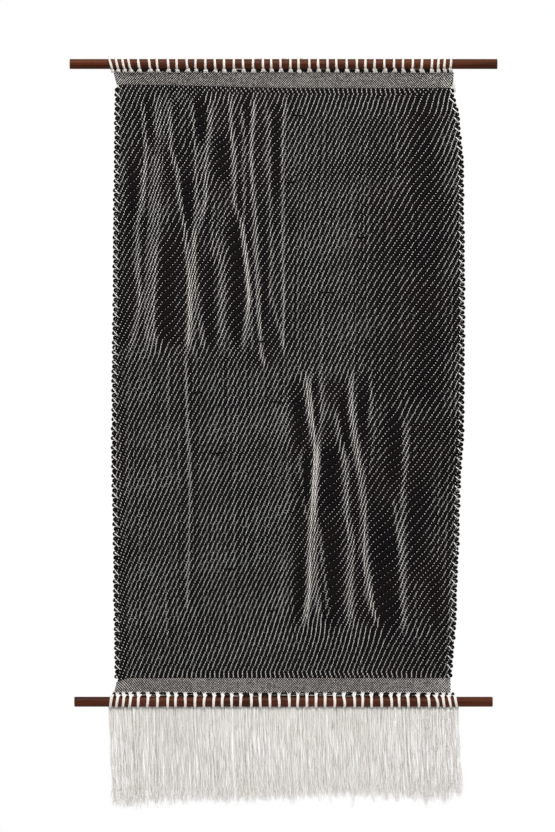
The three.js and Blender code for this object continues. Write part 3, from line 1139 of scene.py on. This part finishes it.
# Where seven squeezed strands lie in a bunch, in strand widths: across it and out from the rod.
PACKED = ((-1.0, 0.5), (-0.5, 1.3), (-0.5, -0.35), (0.0, 0.5), (0.5, 1.3), (0.5, -0.35), (1.0, 0.5))


class HANGING_OT_top_bunches(bpy.types.Operator):
    """Warp ends taken in bunches over the top dowel and knotted under it"""
    bl_idname = "hanging.top_bunches"
    bl_label = "Top bunches"

    def execute(self, context):
        s, c = sizes(), cloth()
        rng = np.random.default_rng(31)
        middles = bunches(TOP_LOOPS, 30, TOP_LEAN[0])
        bunch, place = shared_out(middles)
        ends = s.warp_ends
        start_x = c.warp_x(np.array([CLOTH_TOP]))[0]
        start_z = c.header_height(True, 0.0, start_x)
        order = np.round((place + 1) / 2 * (len(PACKED) - 1)).astype(int)
        across, out = (np.array(PACKED)[order] * s.bunch_strand).T
        from_middle = middles / middles[-1]
        lean = np.where(middles < 0, 4.8 * from_middle**3, 1.4 * from_middle**2) * MM
        lean += rng.normal(0, 0.5, len(middles)) * MM
        knot_x = middles - lean / 2 + 0.8 * MM + rng.normal(0, 0.4, len(middles)) * MM
        knot_z = -9.9 * MM + rng.normal(0, 0.4, len(middles)) * MM
        round_rod = ROD_RADIUS + 0.4 * MM + s.bunch_strand * 0.85
        angles = np.radians(np.linspace(-97, -395, 15))
        turn = np.linspace(0, 1, len(angles))
        kx, kz = knot_x[bunch], knot_z[bunch]
        points = np.zeros((ends, len(angles) + 6, 3))
        points[:, 0] = spot(start_x, 0.3 * MM, start_z - 1.6 * MM)
        points[:, 1] = spot(kx + (start_x - kx) * 0.72, -0.3 * MM, start_z + 0.7 * MM)
        points[:, 2] = spot(kx + (start_x - kx) * 0.3 + across * 0.3, -1.0 * MM, kz - 1.0 * MM)
        twist = 0.55 * (turn - 0.5)[None] * rng.choice([-1, 1], len(middles))[bunch][:, None]
        a = across[:, None] * np.cos(twist) - out[:, None] * np.sin(twist)
        r = across[:, None] * np.sin(twist) + out[:, None] * np.cos(twist) + round_rod
        slant = lean[bunch][:, None] / 2 * np.sin(angles)[None]
        squeeze = 0.95 - 0.1 * np.sin(angles)[None]
        wander = np.repeat(rng.normal(0, 0.08 * MM, (ends, 4)), 4, axis=1)[:, : len(angles)]
        points[:, 3:-3, 0] = middles[bunch][:, None] + slant + a * squeeze + wander
        points[:, 3:-3, 1] = -r * np.cos(angles)[None]
        points[:, 3:-3, 2] = r * np.sin(angles)[None]
        fan = rng.normal(0, 0.6, ends) * MM
        tail = rng.uniform(3.2, 4.8, len(middles))[bunch] * MM
        points[:, -3] = spot(kx + across * 0.6, -5.2 * MM - out * 0.5, kz + 1.6 * MM)
        points[:, -2] = spot(
            kx + 0.3 * MM + across * 1.2, -4.4 * MM - out * 0.5, kz - 1.2 * MM,
        )
        points[:, -1] = spot(
            kx + 0.9 * MM + across * 2.3 + fan, -2.6 * MM - out * 0.4, kz - tail + 0.4 * fan,
        )
        strands = Yarns()
        thick = np.full((ends, 28), s.bunch_strand / 2)
        thick[:, -1] *= 0.7
        strands.add(
            through(points, 28), thick, thick, facing=(1, 0, 0), shade=rng.uniform(0, 1, ends),
        )
        self.knots(strands, knot_x, knot_z, rng)
        self.loose_threads(strands)
        self.loose_tail(strands, rng)
        piece = strands.mesh("top_bunches", cotton(), "upper_cloth")
        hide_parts(*TOP_LOOPS)
        return {"FINISHED"}

    def knots(self, strands, knot_x, knot_z, rng):
        """Two turns of a strand round each bunch, just under the dowel."""
        turns = np.linspace(0, 2.2 * 2 * np.pi, 24)
        paths = []
        for x, z in zip(knot_x, knot_z):
            wide = rng.uniform(2.5, 3.2) * MM
            begin = rng.uniform(0, 2 * np.pi)
            tilt = rng.uniform(-0.35, -0.05)
            px = wide * np.cos(turns + begin)
            py = -3.6 * MM + 2.3 * MM * np.sin(turns + begin)
            pz = z + 1.2 * MM + px * tilt - 1.15 * MM * turns / (2 * np.pi)
            paths.append(np.stack([x + px, py, pz], axis=1))
        half = 0.75 * MM
        strands.add(
            np.array(paths), half, half, facing=(0, 0, 1), shade=rng.uniform(0, 0.6, len(paths)),
        )

    def loose_threads(self, strands):
        """A few stray threads lying over the rod: (x in mm, degrees up from its front)."""
        out = ROD_RADIUS + 0.9 * MM
        lines = (
            ((-44, 112), (-37, 84), (-31, 66), (-27, 58)),
            ((-5, 118), (2, 92), (8, 74), (11, 66)),
            ((-4, 84), (0, 96), (4, 88), (2, 78)),
            ((22, 92), (27, 102), (31, 90), (26, 82)),
        )
        paths = np.zeros((len(lines), 4, 3))
        for i, line in enumerate(lines):
            for j, (x, degrees) in enumerate(line):
                a = math.radians(degrees)
                paths[i, j] = (x * MM, -out * math.cos(a), out * math.sin(a))
        strands.add(through(paths, 12), 0.4 * MM, 0.4 * MM, facing=(1, 0, 0), shade=0.2)

    def loose_tail(self, strands, rng):
        """Ends left hanging behind the header at its top right corner."""
        count = 16
        spread = np.linspace(-1, 1, count)[:, None]
        t = np.linspace(0, 1, 10)[None]
        x = 264.5 + 9.5 * t + spread * (3.4 - 2.2 * t) + 0.5 * np.sin(9 * t + 5 * spread)
        y = 2.6 + 0.5 * np.cos(7 * t + 11 * spread) + 0 * x
        z = -9.5 - (31 + 5 * np.cos(13 * spread)) * t + 0 * x
        shade = rng.uniform(0.2, 1, count)
        strands.add(np.stack([x, y, z], axis=2) * MM, 0.38 * MM, 0.38 * MM, shade=shade)


class HANGING_OT_bottom_bunches(bpy.types.Operator):
    """Warp ends pinched in bunches and taken round the bottom dowel"""
    bl_idname = "hanging.bottom_bunches"
    bl_label = "Bottom bunches"

    def execute(self, context):
        s, c = sizes(), cloth()
        rng = np.random.default_rng(41)
        middles = bunches(FOOT_WRAPS, 40)
        bunch, place = shared_out(middles)
        ends = s.warp_ends
        start_x = c.warp_x(np.array([CLOTH_FOOT]))[0]
        start_z = c.header_height(False, 1.0, start_x)
        in_front = np.round((place + 1) * 3).astype(int) % 2 == 0
        lean = (-3.0 * (middles / middles[-1]) ** 3 + rng.normal(0, 0.5, len(middles))) * MM
        lean = lean[bunch] / 2
        px = middles[bunch]
        width = s.bunch_width / 2 * 0.72
        reach = ROD_RADIUS + 0.4 * MM + s.bunch_strand / 2
        step = rng.uniform(-0.3, 0.35, ends) * MM
        angles = np.radians(np.linspace(38, 172, 9))
        points = np.zeros((ends, len(angles) + 3, 3))
        side = np.where(in_front, -1.0, 1.0)
        away = start_x - px - lean
        points[:, 0] = spot(start_x, 0.3 * MM * side, start_z + 1.6 * MM)
        points[:, 1] = spot(px + lean + away * 0.55, 0.4 * MM * side, start_z - 0.4 * MM)
        points[:, 2] = spot(
            px + lean + away * 0.15 + place * 0.8 * MM, 1.5 * MM * side, start_z - 2.2 * MM,
        )
        taper = (1 + 0.14 * np.cos(angles))[None]
        bow = rng.normal(0, 0.5, len(middles))[bunch][:, None] * MM
        t = np.linspace(0, 1, len(angles))[None]
        slant = lean[:, None] * np.cos(angles)[None] + bow * np.sin(np.pi * t)
        points[:, 3:, 0] = px[:, None] + (place * width)[:, None] * taper + slant
        out = reach + step[:, None] * np.sin(np.pi * t)
        points[:, 3:, 1] = side[:, None] * out * np.sin(angles)[None]
        points[:, 3:, 2] = FOOT_ROD.z + out * np.cos(angles)[None]
        strands = Yarns()
        thick = np.full((ends, 18), s.bunch_strand / 2)
        strands.add(
            through(points, 18), thick, thick, facing=(1, 0, 0), shade=rng.uniform(0, 1, ends),
        )
        piece = strands.mesh("bottom_bunches", cotton())
        bend_at_foot(piece)
        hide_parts(*FOOT_WRAPS)
        return {"FINISHED"}


def bend_at_foot(piece):
    """Bakes a piece's placement into its mesh and leaves it on no body."""
    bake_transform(piece)


class HANGING_OT_hem_and_shade(bpy.types.Operator):
    """Black weft that closes each opening between two bunches, stacked on up to the dowel, where the
    upper rows are painted shade filling the shaded gap
    """
    bl_idname = "hanging.hem"
    bl_label = "Hem"

    def execute(self, context):
        upper = self.arcs(bunches(TOP_LOOPS, 30, TOP_LEAN[0] + 0.8 * MM), True)
        piece = upper.mesh("top_hem_and_shade", header_wool(), "upper_cloth")
        lower = self.arcs(bunches(FOOT_WRAPS, 40), False)
        piece = lower.mesh("lower_hem_and_shade", header_wool())
        bend_at_foot(piece)
        return {"FINISHED"}

    def arcs(self, middles, upper):
        rng = np.random.default_rng(51 if upper else 52)
        t = np.linspace(-1, 1, 7)
        paths = []
        for left, right in zip(middles, middles[1:]):
            for level in range(6):
                middle, share = (left + right) / 2, level / 5
                if upper:
                    half = (right - left) * (0.19 + 0.18 * share)
                    far = -ROD_RADIUS - 0.75 * MM
                else:
                    half = (right - left) / 2 - (3.3 - 1.5 * share) * MM
                    far = FOOT_ROD.z + ROD_RADIUS + 0.45 * MM
                x = middle + max(half, 0.8 * MM) * t
                edge = cloth().header_height(upper, 0.0 if upper else 1.0, x)
                edge = edge + (-0.4 if upper else 0.5) * MM + 0.8 * MM * (1 - t**2)
                # The rows climb from the header's edge to the dowel: the lowest are real black weft,
                # the upper ones are painted shade, black yarn filling the shaded gap by the dowel.
                z = edge * (1 - share) + far * share
                y = (-2.0 + 0.3 * np.cos(2.4 * level) + rng.normal(0, 0.15)) * MM + 0.9 * MM * t**2
                paths.append(np.stack([x, y, z + rng.normal(0, 0.15) * MM], axis=1))
        hem = Yarns()
        hem.add(np.array(paths), 0.72 * MM, 0.6 * MM, ROUND_FRONT)
        return hem


class HANGING_OT_fringe(bpy.types.Operator):
    """The cotton ends below the bottom dowel, opened into their plies"""
    bl_idname = "hanging.fringe"
    bl_label = "Fringe"

    CUT = (
        (-287, -1186), (-250, -1187), (-210, -1182), (-110, -1181), (-20, -1179), (80, -1171),
        (170, -1175), (250, -1179), (279, -1166),
    )

    def execute(self, context):
        s = sizes()
        rng = np.random.default_rng(61)
        bunch = shared_out(bunches(FOOT_WRAPS, 40))[0]
        ends = s.warp_ends
        lock = {
            "x": rng.normal(0, 0.6, ends) + rng.normal(0, 0.6, bunch[-1] + 1)[bunch],
            "y": rng.normal(0, 1.3, ends),
            "cut": rng.normal(0, 2.5, ends) - rng.exponential(2.2, ends) + 3.5,
            "shade": rng.uniform(0, 1, ends),
            "wave": rng.uniform(0.055, 0.11, ends),
            "phase": rng.uniform(0, 2 * np.pi, (2, ends)),
        }
        for part, count, half, samples, section in (
            ("front", 2, s.fringe_ply / 2, 24, DIAMOND), ("back", 2, s.fringe_ply / 2, 24, DIAMOND),
            ("fibres", 9, 0.18 * MM, 13, TRIANGLE),
        ):
            which = np.repeat(np.arange(ends), count)
            paths = self.paths(rng, lock, which, samples, part)
            t = np.linspace(0, 1, samples)[None]
            thick = half * (1 - 0.2 * t) * np.clip((1.02 - t) / 0.06, 0.25, 1)
            thick = thick * rng.uniform(0.75, 1.15, (len(which), 1))
            shade = 0.6 * lock["shade"][which] + 0.4 * rng.uniform(0, 1, len(which))
            strands = Yarns()
            strands.add(paths, thick, thick, section=section, shade=shade)
            piece = strands.mesh("fringe_" + part, fringe_cotton(), "fringe")
        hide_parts(*TASSELS)
        return {"FINISHED"}

    def paths(self, rng, lock, which, samples, part):
        s, rows = sizes(), len(which)
        t = np.linspace(0, 1, samples)[None]
        own = rng.uniform(0, 1, rows)
        even = (which + own) / s.warp_ends * 2 - 1
        span = high(FOOT_WRAPS[-1]).x + 2 * MM
        fall = high(TASSELS[0]).z - low(TASSELS[0]).z
        open_out = smooth(t / 0.5)
        x = even[:, None] * span + lock["x"][which][:, None] * MM * open_out
        x = x + s.fringe_lean * t**1.3
        side = {"front": -1.0, "back": 1.0, "fibres": 0.0}[part]
        y0 = side * rng.uniform(0.3, 3.4, rows) * MM + (side == 0) * rng.normal(0, 2.6, rows) * MM
        y = y0[:, None] * (0.75 + 0.35 * open_out) + lock["y"][which][:, None] * MM * open_out
        turn = 2 * np.pi * t * fall / lock["wave"][which][:, None]
        x = x + 0.8 * MM * open_out * np.sin(turn + lock["phase"][0][which][:, None])
        y = y + 0.8 * MM * open_out * np.sin(turn + lock["phase"][1][which][:, None])
        grow = 0.3 + 0.7 * t + 2.2 * smooth((t - 0.72) / 0.28)
        loose = (1.9 if part == "fibres" else 0.8) * MM
        for length, size in ((0.060, 0.55), (0.033, 0.32), (0.019, 0.20)):
            turn = 2 * np.pi * t * fall / (length * rng.uniform(0.8, 1.25, (rows, 1)))
            x = x + loose * size * grow * np.sin(turn + rng.uniform(0, 2 * np.pi, (rows, 1)))
            y = y + loose * size * grow * np.sin(turn + rng.uniform(0, 2 * np.pi, (rows, 1)))
        below = np.sqrt(np.maximum((ROD_RADIUS + 0.9 * MM) ** 2 - y[:, 0] ** 2, 1e-8))
        begin = FOOT_ROD.z - below + 0.6 * MM
        at, cut = np.array(self.CUT, float).T * MM
        end = np.interp(even * span, at, cut) + lock["cut"][which] * MM
        end = end + rng.normal(0, 1.6, rows) * MM + rng.exponential(3.0, rows) * MM - 1.5 * MM
        end = np.maximum(end, low(TASSELS[0]).z - 6 * MM)
        z = begin[:, None] + (end - begin)[:, None] * t
        return np.stack([x, y, z], axis=2)


class HANGING_PT_panel(bpy.types.Panel):
    bl_idname = "HANGING_PT_panel"
    bl_label = "Tapestry wall hanging"
    bl_space_type = "VIEW_3D"
    bl_region_type = "UI"
    bl_category = "Hanging"

    def draw(self, context):
        for group_of in (context.scene.hanging_sizes, context.scene.hanging_colours):
            box = self.layout.box()
            for key in group_of.__annotations__:
                box.prop(group_of, key)
        for operator in OPERATORS:
            self.layout.operator(operator.bl_idname)


OPERATORS = (
    HANGING_OT_stage, HANGING_OT_dowels, HANGING_OT_field, HANGING_OT_headers,
    HANGING_OT_top_bunches, HANGING_OT_bottom_bunches, HANGING_OT_hem_and_shade, HANGING_OT_fringe,
)
CLASSES = (HangingSizes, HangingColours, *OPERATORS, HANGING_PT_panel)


def register():
    for each in CLASSES:
        bpy.utils.register_class(each)
    bpy.types.Scene.hanging_sizes = bpy.props.PointerProperty(type=HangingSizes)
    bpy.types.Scene.hanging_colours = bpy.props.PointerProperty(type=HangingColours)


def unregister():
    del bpy.types.Scene.hanging_colours
    del bpy.types.Scene.hanging_sizes
    for each in reversed(CLASSES):
        bpy.utils.unregister_class(each)


def main():
    register()
    bpy.ops.hanging.stage()
    bpy.ops.hanging.dowels()
    bpy.ops.hanging.field()
    bpy.ops.hanging.headers()
    bpy.ops.hanging.top_bunches()
    bpy.ops.hanging.bottom_bunches()
    bpy.ops.hanging.hem()
    bpy.ops.hanging.fringe()


if __name__ == "__main__":
    main()
